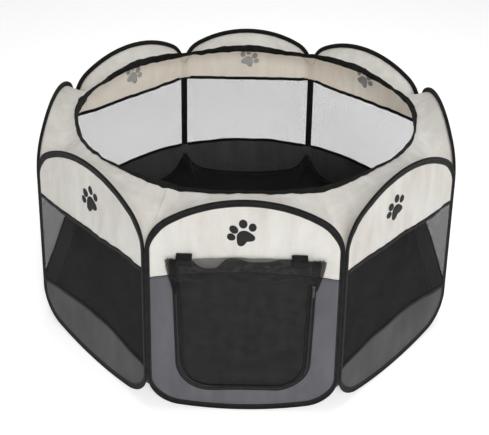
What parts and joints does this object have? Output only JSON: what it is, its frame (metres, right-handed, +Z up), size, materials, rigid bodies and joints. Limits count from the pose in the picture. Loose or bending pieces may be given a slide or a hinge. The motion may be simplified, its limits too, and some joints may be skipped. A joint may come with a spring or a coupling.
{
  "type": "pet playpen",
  "caption": "Folding octagonal pop-up pet playpen: arched wire-hoop panels in beige and grey cloth with mesh windows, an open top and a zipped mesh door.",
  "frame": {"origin": "centre of the floor, on the surface the pen stands on", "axes": "+Z up, -Y out through the door panel, +X to the right as seen from in front of the door"},
  "size_m": [1.146, 1.146, 0.5886],
  "materials": {
    "spring_steel": "drawn spring wire",
    "black_tape": "woven polyester binding",
    "beige_oxford": "coated Oxford weave",
    "grey_oxford": "coated Oxford weave",
    "slate_oxford": "coated Oxford weave",
    "black_mesh": "open knitted mesh",
    "black_oxford": "waterproof Oxford weave",
    "black_enamel": "enamelled zinc"
  },
  "bodies": {
    "panel_front": {"spring_wire_front": "spring_steel", "hoop_tape_front": "black_tape", "upper_panel_front": "beige_oxford", "lower_panel_front": "slate_oxford", "roof_panel_front": "beige_oxford", "floor_panel_front": "black_oxford", "door_zip_tape": "black_tape", "door_straps": "black_tape"},
    "panel_front_right": {"spring_wire_front_right": "spring_steel", "hoop_tape_front_right": "black_tape", "upper_panel_front_right": "beige_oxford", "lower_panel_front_right": "grey_oxford", "mesh_window_front_right": "black_mesh", "roof_panel_front_right": "beige_oxford", "floor_panel_front_right": "black_oxford"},
    "panel_right": {"spring_wire_right": "spring_steel", "hoop_tape_right": "black_tape", "upper_panel_right": "beige_oxford", "lower_panel_right": "grey_oxford", "mesh_window_right": "black_mesh", "roof_panel_right": "beige_oxford", "floor_panel_right": "black_oxford"},
    "panel_back_right": {"spring_wire_back_right": "spring_steel", "hoop_tape_back_right": "black_tape", "upper_panel_back_right": "beige_oxford", "lower_panel_back_right": "grey_oxford", "mesh_window_back_right": "black_mesh", "roof_panel_back_right": "beige_oxford", "floor_panel_back_right": "black_oxford"},
    "panel_back": {"spring_wire_back": "spring_steel", "hoop_tape_back": "black_tape", "upper_panel_back": "beige_oxford", "lower_panel_back": "grey_oxford", "mesh_window_back": "black_mesh", "roof_panel_back": "beige_oxford", "floor_panel_back": "black_oxford"},
    "panel_back_left": {"spring_wire_back_left": "spring_steel", "hoop_tape_back_left": "black_tape", "upper_panel_back_left": "beige_oxford", "lower_panel_back_left": "grey_oxford", "mesh_window_back_left": "black_mesh", "roof_panel_back_left": "beige_oxford", "floor_panel_back_left": "black_oxford"},
    "panel_left": {"spring_wire_left": "spring_steel", "hoop_tape_left": "black_tape", "upper_panel_left": "beige_oxford", "lower_panel_left": "grey_oxford", "mesh_window_left": "black_mesh", "roof_panel_left": "beige_oxford", "floor_panel_left": "black_oxford"},
    "panel_front_left": {"spring_wire_front_left": "spring_steel", "hoop_tape_front_left": "black_tape", "upper_panel_front_left": "beige_oxford", "lower_panel_front_left": "grey_oxford", "mesh_window_front_left": "black_mesh", "roof_panel_front_left": "beige_oxford", "floor_panel_front_left": "black_oxford"},
    "door": {"door_mesh": "black_mesh"},
    "zip_slider_body": {"zip_slider": "black_enamel"},
    "zip_pull_body": {"zip_pull": "black_enamel"}
  },
  "joints": [
    {"name": "seam_front_to_front_right", "type": "hinge", "parent": "panel_front", "child": "panel_front_right", "pos_m": [0.23465, -0.56649, 0], "axis": [-0.0373, 0.0901, 0.9952], "range_deg": [0, 120], "deforming": ["roof_panel_front_right", "floor_panel_front_right", "roof_panel_front", "floor_panel_front"]},
    {"name": "seam_front_right_to_right", "type": "hinge", "parent": "panel_front_right", "child": "panel_right", "pos_m": [0.57, -0.2361, 0], "axis": [-0.0901, 0.0373, 0.9952], "range_deg": [-120, 0], "deforming": ["roof_panel_right", "floor_panel_right"]},
    {"name": "seam_right_to_back_right", "type": "hinge", "parent": "panel_right", "child": "panel_back_right", "pos_m": [0.56649, 0.23465, 0], "axis": [-0.0901, -0.0373, 0.9952], "range_deg": [0, 120], "deforming": ["roof_panel_back_right", "floor_panel_back_right"]},
    {"name": "seam_back_right_to_back", "type": "hinge", "parent": "panel_back_right", "child": "panel_back", "pos_m": [0.2361, 0.57, 0], "axis": [-0.0373, -0.0901, 0.9952], "range_deg": [-120, 0], "deforming": ["roof_panel_back", "floor_panel_back"]},
    {"name": "seam_front_to_front_left", "type": "hinge", "parent": "panel_front", "child": "panel_front_left", "pos_m": [-0.2361, -0.57, 0], "axis": [0.0373, 0.0901, 0.9952], "range_deg": [0, 120], "deforming": ["roof_panel_front_left", "floor_panel_front_left"]},
    {"name": "seam_front_left_to_left", "type": "hinge", "parent": "panel_front_left", "child": "panel_left", "pos_m": [-0.56649, -0.23465, 0], "axis": [0.0901, 0.0373, 0.9952], "range_deg": [-120, 0], "deforming": ["roof_panel_left", "floor_panel_left"]},
    {"name": "seam_left_to_back_left", "type": "hinge", "parent": "panel_left", "child": "panel_back_left", "pos_m": [-0.57, 0.2361, 0], "axis": [0.0901, -0.0373, 0.9952], "range_deg": [0, 120], "deforming": ["roof_panel_back_left", "floor_panel_back_left"]},
    {"name": "door_lift", "type": "hinge", "parent": "panel_front", "child": "door", "pos_m": [0, -0.53393, 0.39837], "axis": [-1, 0, 0], "range_deg": [0, 115]},
    {"name": "zip_slide", "type": "slide", "parent": "panel_front", "child": "zip_slider_body", "axis": [0, -0.0902, -0.9959], "range_m": [0, 0.22]},
    {"name": "zip_pull_swing", "type": "hinge", "parent": "zip_slider_body", "child": "zip_pull_body", "pos_m": [0.155, -0.5433, 0.37914], "axis": [-1, 0, 0], "range_deg": [0, 150]}
  ],
  "couplings": [
    {"joint": "seam_front_right_to_right", "follows": "seam_front_to_front_right", "ratio": -0.9972},
    {"joint": "seam_right_to_back_right", "follows": "seam_front_to_front_right", "ratio": 1},
    {"joint": "seam_back_right_to_back", "follows": "seam_front_to_front_right", "ratio": -0.9972},
    {"joint": "seam_front_to_front_left", "follows": "seam_front_to_front_right", "ratio": 0.9972},
    {"joint": "seam_front_left_to_left", "follows": "seam_front_to_front_right", "ratio": -1},
    {"joint": "seam_left_to_back_left", "follows": "seam_front_to_front_right", "ratio": 0.9972}
  ]
}
